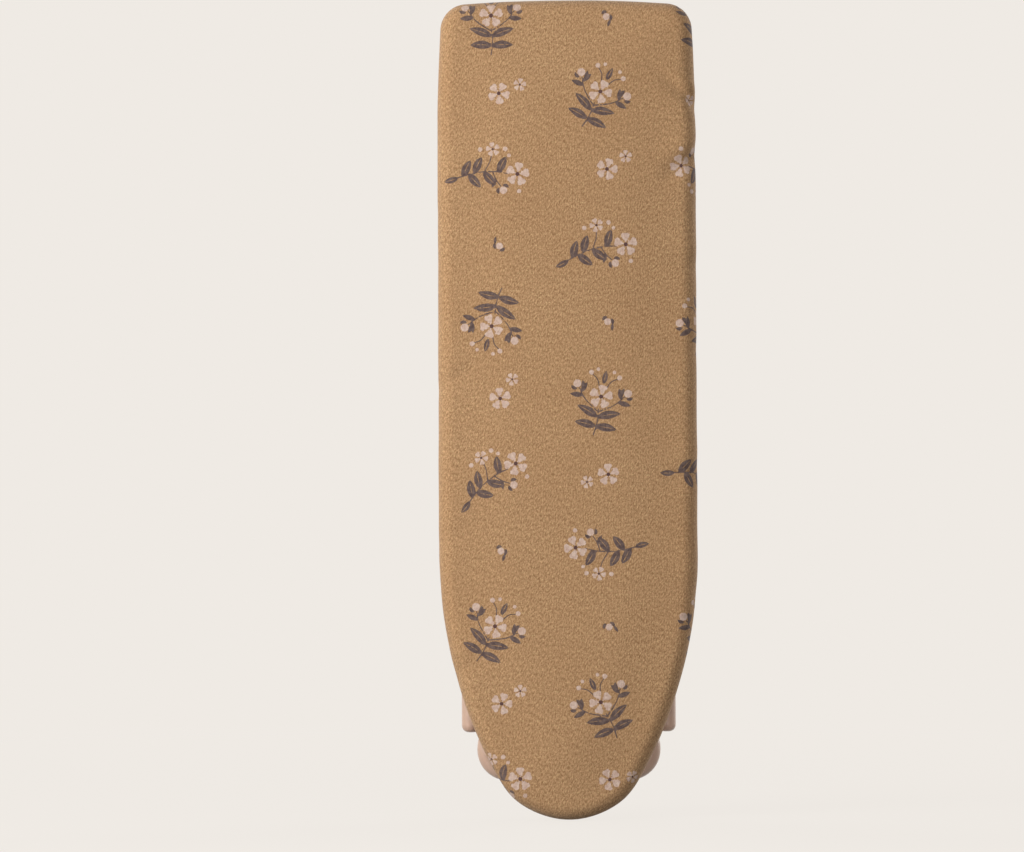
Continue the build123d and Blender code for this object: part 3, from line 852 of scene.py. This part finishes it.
def casing_material():
    """The same ochre cotton, unprinted, cut on the bias."""
    shader = Shader("ochre_bias_tape", Roughness=0.86, Sheen_Weight=0.18, Sheen_Roughness=0.5,
                    Specular_IOR_Level=0.22)
    bias = shader.mapped(shader.attribute("flat"), "Rotation", (0, 0, math.radians(45)))
    height, tone, thread = weave(shader, bias)
    colour = shader.mix(shader.span(tone, 0.36, 0.64), rgb(138, 101, 66), rgb(186, 148, 108))
    colour = shader.mix(shader.span(thread, 0.0, 0.9, 0.0, 0.3), colour, rgb(200, 160, 118))
    normal = shader.bump(height, 0.08 * MM, 0.7)
    return shader.finish(Base_Color=colour, Normal=normal)


def thread_material():
    """Twisted sewing thread."""
    shader = Shader("sewing_thread", Roughness=0.6, Sheen_Weight=0.3)
    place = shader.object_place()
    split = shader.node("SeparateXYZ", {0: place})
    upward = shader.math("ADD", split.outputs[1], split.outputs[2])
    diagonal = shader.math("ADD", split.outputs[0], upward)
    twist = shader.math("SINE", shader.math("MULTIPLY", diagonal, 2 * math.pi / (0.22 * MM)))
    shade = shader.noise(place, 700, 2.0)
    colour = shader.mix(shader.span(twist, -1, 1, 0.0, 0.5), rgb(198, 160, 112), rgb(160, 120, 78))
    colour = shader.mix(shader.span(shade, 0.4, 0.7, 0.0, 0.4), colour, rgb(214, 180, 136))
    return shader.finish(Base_Color=colour, Normal=shader.bump(twist, 0.03 * MM, 0.6))


def elastic_material():
    """Off-white woven elastic with fine lengthwise ribs."""
    shader = Shader("woven_elastic", Roughness=0.7, Sheen_Weight=0.2)
    place = shader.attribute("flat")
    split = shader.node("SeparateXYZ", {0: place})
    ribs = shader.math("SINE", shader.math("MULTIPLY", split.outputs[1], 2 * math.pi / (0.3 * MM)))
    picks = shader.math("SINE", shader.math("MULTIPLY", split.outputs[0], 2 * math.pi / (0.35 * MM)))
    height = shader.math("MULTIPLY_ADD", shader.math("MULTIPLY", ribs, picks), 0.4, ribs)
    grime = shader.noise(place, 300, 3.0)
    colour = shader.mix(shader.span(ribs, -1, 1, 0.0, 0.35), rgb(228, 223, 212), rgb(196, 190, 178))
    colour = shader.mix(shader.span(grime, 0.4, 0.8, 0.0, 0.3), colour, rgb(206, 196, 178))
    return shader.finish(Base_Color=colour, Normal=shader.bump(height, 0.05 * MM, 0.5))


def foam_material():
    """Needled polyester wadding."""
    shader = Shader("polyester_pad", Roughness=0.95, Sheen_Weight=0.3)
    place = shader.object_place()
    fibres = shader.noise(place, (1500, 400, 1200), 5.0, 0.7, 0.6)
    clumps = shader.noise(place, 180, 3.0)
    colour = shader.mix(shader.span(clumps, 0.3, 0.7), rgb(234, 229, 218), rgb(214, 206, 190))
    colour = shader.mix(shader.span(fibres, 0.45, 0.75, 0.0, 0.4), colour, rgb(248, 245, 238))
    return shader.finish(Base_Color=colour, Normal=shader.bump(fibres, 0.12 * MM, 0.6))


def panel_material():
    """Brown hardboard: pressed wood fibres."""
    shader = Shader("pressed_hardboard", Roughness=0.62, Specular_IOR_Level=0.35)
    place = shader.object_place()
    fibres = shader.noise(place, (420, 900, 900), 6.0, 0.7, 1.2)
    strands = shader.noise(place, (2200, 900, 500), 4.0, 0.65, 0.8)
    clumps = shader.noise(place, 120, 3.0)
    colour = shader.mix(shader.span(fibres, 0.35, 0.66), rgb(122, 84, 54), rgb(172, 128, 86))
    colour = shader.mix(shader.span(strands, 0.6, 0.75, 0.0, 0.55), colour, rgb(204, 166, 120))
    colour = shader.mix(shader.span(strands, 0.36, 0.28, 0.0, 0.6), colour, rgb(78, 52, 36))
    colour = shader.mix(shader.span(clumps, 0.3, 0.75, 0.0, 0.25), colour, rgb(132, 94, 62))
    rough = shader.span(fibres, 0.3, 0.7, 0.5, 0.74)
    return shader.finish(Base_Color=colour, Roughness=rough,
                         Normal=shader.bump(strands, 0.05 * MM, 0.45))


def paint_material(name, base, shade, rough, wear_scale):
    """Satin paint on steel: slight orange peel, soft mottling, and rubbed specks."""
    shader = Shader(name, Coat_Weight=0.4, Coat_Roughness=0.24, Specular_IOR_Level=0.5)
    place = shader.object_place()
    peel = shader.noise(place, 500, 1.0, 0.5)
    mottle = shader.noise(place, 90, 4.0, 0.6)
    dust = shader.noise(place, wear_scale, 5.0, 0.65)
    colour = shader.mix(shader.span(mottle, 0.3, 0.7), base, shade)
    colour = shader.mix(shader.span(dust, 0.62, 0.8, 0.0, 0.3), colour, rgb(222, 200, 186))
    speck = shader.cells(place, 420)
    colour = shader.mix(shader.span(speck, 0.1, 0.04, 0.0, 0.25), colour, rgb(150, 116, 98))
    roughness = shader.span(dust, 0.3, 0.75, rough, rough + 0.16)
    return shader.finish(Base_Color=colour, Roughness=roughness,
                         Normal=shader.bump(peel, 0.02 * MM, 0.1))


def plastic_material():
    """Moulded plastic with a fine spark-eroded grain."""
    shader = Shader("moulded_plastic", Specular_IOR_Level=0.45)
    place = shader.object_place()
    grain = shader.noise(place, 3800, 2.0)
    flow = shader.noise(place, (150, 300, 90), 3.0, 0.6, 0.8)
    colour = shader.mix(shader.span(flow, 0.3, 0.7), rgb(196, 166, 148), rgb(182, 150, 131))
    roughness = shader.span(flow, 0.3, 0.7, 0.42, 0.55)
    return shader.finish(Base_Color=colour, Roughness=roughness,
                         Normal=shader.bump(grain, 0.02 * MM, 0.35))


def metal_material(name, bright, dull, rough):
    """Plated steel with fine turning lines and faint clouding."""
    shader = Shader(name, Metallic=1.0)
    place = shader.object_place()
    lines = shader.noise(place, (600, 5200, 5200), 3.0, 0.6)
    cloud = shader.noise(place, 700, 4.0, 0.6)
    colour = shader.mix(shader.span(cloud, 0.35, 0.7), bright, dull)
    roughness = shader.span(lines, 0.3, 0.7, rough, rough + 0.18)
    return shader.finish(Base_Color=colour, Roughness=roughness,
                         Normal=shader.bump(lines, 0.015 * MM, 0.3))


def nylon_material():
    """Natural nylon, slightly waxy."""
    shader = Shader("natural_nylon", Subsurface_Weight=0.08, Subsurface_Scale=0.5 * MM)
    place = shader.object_place()
    cloud = shader.noise(place, 900, 3.0)
    scratch = shader.noise(place, (5000, 900, 900), 2.0)
    colour = shader.mix(shader.span(cloud, 0.3, 0.7), rgb(236, 231, 218), rgb(219, 211, 193))
    return shader.finish(Base_Color=colour, Roughness=shader.span(scratch, 0.3, 0.7, 0.4, 0.56),
                         Normal=shader.bump(scratch, 0.01 * MM, 0.3))


def pair(name):
    """The left and the right node of that name."""
    return [name + "_left", name + "_right"]


def dress(names, material):
    """Gives a material to each CAD node or piece."""
    for name in names:
        piece = name if isinstance(name, bpy.types.Object) else bpy.data.objects[name]
        if not piece.material_slots:
            piece.data.materials.append(material)
        for slot in piece.material_slots:
            slot.material = material


# ---------------- stage, light and camera
PALE = rgb(239, 234, 228)
CAMERA_DISTANCE = 1.2
CAMERA_X = -11.2 * MM
CAMERA_Z = 79.0 * MM
CAMERA_ROLL = math.radians(0.27)
FRAME_WIDTH = 204.8 * MM
SENSOR = 36.0
FAR_CLIP = 50
FLOOR_HALF = 4.0
FLOOR_COLOUR = (0.88, 0.86, 0.83, 1)
# The floor takes a soft shadow near the object and fades into the backdrop: the share of matte
# surface close by, and the distances where it starts and stops fading
FLOOR_SHARE = 0.06
FADE_START = 0.03
FADE_END = 0.35
# Fill light from below and from above, with the heights of the blend between them
FILL = ((0.3, (0.12, 0.114, 0.108, 1)), (0.75, (0.32, 0.314, 0.308, 1)))
# Soft boxes: name, place, width, power and colour
LIGHTS = (
    ("key_light", (-0.42, -0.32, 0.20), 0.26, 2.5, (1.0, 0.985, 0.96)),
    ("front_light", (0.10, -0.85, 0.15), 0.5, 1.9, (1.0, 0.99, 0.975)),
    ("back_left_light", (-0.7, 0.75, 0.5), 0.6, 4.5, (1.0, 0.99, 0.97)),
    ("back_right_light", (0.8, 0.6, 0.4), 0.6, 5.6, (1.0, 0.99, 0.97)),
)


def make_camera():
    data = bpy.data.cameras.new("camera")
    data.sensor_width = SENSOR
    data.lens = SENSOR * CAMERA_DISTANCE / FRAME_WIDTH
    data.clip_end = FAR_CLIP
    camera = bpy.data.objects.new("camera", data)
    camera.location = (CAMERA_X, FRONT_Y - CAMERA_DISTANCE, CAMERA_Z)
    camera.rotation_euler = (math.pi / 2, CAMERA_ROLL, 0)
    bpy.context.scene.collection.objects.link(camera)
    bpy.context.scene.camera = camera


def empty_tree(owner):
    """The owner's node tree, cleared, with a function that adds a node to it."""
    owner.use_nodes = True
    tree = owner.node_tree
    tree.nodes.clear()

    def add(kind, values=None, **options):
        node = tree.nodes.new("ShaderNode" + kind)
        for key, value in options.items():
            setattr(node, key, value)
        for key, value in (values or {}).items():
            node.inputs[key].default_value = value
        return node

    return tree, add


def make_floor():
    """A wide pale floor that takes a soft shadow near the object and fades into the backdrop."""
    mesh = bpy.data.meshes.new("floor")
    corners = [(x * FLOOR_HALF, y * FLOOR_HALF, 0) for x, y in ((-1, -1), (1, -1), (1, 1), (-1, 1))]
    mesh.from_pydata(corners, [], [(0, 1, 2, 3)])
    floor = bpy.data.objects.new("floor", mesh)
    bpy.context.scene.collection.objects.link(floor)
    material = bpy.data.materials.new("pale_floor")
    tree, add = empty_tree(material)
    output = add("OutputMaterial")
    blend = add("MixShader")
    glow = add("Emission", {"Color": PALE})
    matte = add("BsdfDiffuse", {"Color": FLOOR_COLOUR})
    place = add("TexCoord")
    away = add("VectorMath", operation="LENGTH")
    fade = add("MapRange", {"From Min": FADE_START, "From Max": FADE_END, "To Min": FLOOR_SHARE,
                            "To Max": 0.0}, interpolation_type="SMOOTHSTEP")
    for start, end in (
        (place.outputs["Object"], away.inputs[0]),
        (away.outputs["Value"], fade.inputs["Value"]),
        (fade.outputs["Result"], blend.inputs[0]),
        (glow.outputs[0], blend.inputs[1]),
        (matte.outputs[0], blend.inputs[2]),
        (blend.outputs[0], output.inputs["Surface"]),
    ):
        tree.links.new(start, end)
    mesh.materials.append(material)
    floor.visible_diffuse = False
    floor.visible_glossy = False


def make_world():
    """Pale surroundings, seen as the backdrop and in reflections, and a softer fill light that is
    dimmer from below."""
    world = bpy.data.worlds.new("studio")
    bpy.context.scene.world = world
    tree, add = empty_tree(world)
    output = add("OutputWorld")
    seen = add("Background", {"Color": PALE})
    fill = add("Background", {"Strength": 1.0})
    place = add("TexCoord")
    split = add("SeparateXYZ")
    rise = add("Math", {1: 0.5, 2: 0.5}, operation="MULTIPLY_ADD")
    ramp = add("ValToRGB")
    for stop, (position, colour) in zip(ramp.color_ramp.elements, FILL):
        stop.position = position
        stop.color = colour
    ray = add("LightPath")
    seen_or_mirrored = add("Math", operation="MAXIMUM")
    blend = add("MixShader")
    for start, end in (
        (place.outputs["Generated"], split.inputs[0]),
        (split.outputs["Z"], rise.inputs[0]),
        (rise.outputs[0], ramp.inputs[0]),
        (ramp.outputs["Color"], fill.inputs["Color"]),
        (ray.outputs["Is Camera Ray"], seen_or_mirrored.inputs[0]),
        (ray.outputs["Is Glossy Ray"], seen_or_mirrored.inputs[1]),
        (seen_or_mirrored.outputs[0], blend.inputs[0]),
        (fill.outputs[0], blend.inputs[1]),
        (seen.outputs[0], blend.inputs[2]),
        (blend.outputs[0], output.inputs["Surface"]),
    ):
        tree.links.new(start, end)


def make_lights():
    aim = Vector((0, 0, TAIL_Z / 2))
    for name, place, width, power, colour in LIGHTS:
        data = bpy.data.lights.new(name, "AREA")
        data.size = width
        data.energy = power
        data.color = colour
        light = bpy.data.objects.new(name, data)
        light.location = place
        light.rotation_euler = (Vector(place) - aim).to_track_quat("Z", "Y").to_euler()
        light.visible_camera = False
        bpy.context.scene.collection.objects.link(light)


def main():
    bpy.context.scene.view_settings.view_transform = "Standard"
    make_camera()
    make_world()
    make_lights()
    make_floor()

    cover = make_cover()
    pad = make_pad()
    casing = make_casing()
    elastic = make_elastic()
    stitches = make_stitches()
    edge = ring(ROLL_RADIUS - SKIRT_LENGTH, 1 * MM)

    for names, material in (
        ([cover], cover_material()),
        ([pad], foam_material()),
        ([casing], casing_material()),
        ([elastic], elastic_material()),
        ([stitches], thread_material()),
        (["board_panel"], panel_material()),
        (["outer_leg_rod", "inner_leg_rod"],
         paint_material("pink_rod_paint", rgb(204, 172, 152), rgb(195, 161, 141), 0.36, 240)),
        (pair("catch_rack") + pair("tail_clip"),
         paint_material("pink_bracket_paint", rgb(212, 178, 158), rgb(200, 163, 143), 0.4, 520)),
        (pair("tail_block"), plastic_material()),
        (pair("pivot_rivet"),
         metal_material("rivet_steel", (0.62, 0.6, 0.57, 1), (0.5, 0.48, 0.45, 1), 0.28)),
        (pair("rivet_washer"),
         metal_material("washer_steel", (0.6, 0.59, 0.57, 1), (0.48, 0.47, 0.45, 1), 0.34)),
        (["tail_clip_screws", "rack_screws"],
         metal_material("zinc_plate", (0.66, 0.66, 0.64, 1), (0.52, 0.53, 0.54, 1), 0.26)),
        (pair("spacer_washer"), nylon_material()),
    ):
        dress(names, material)


main()
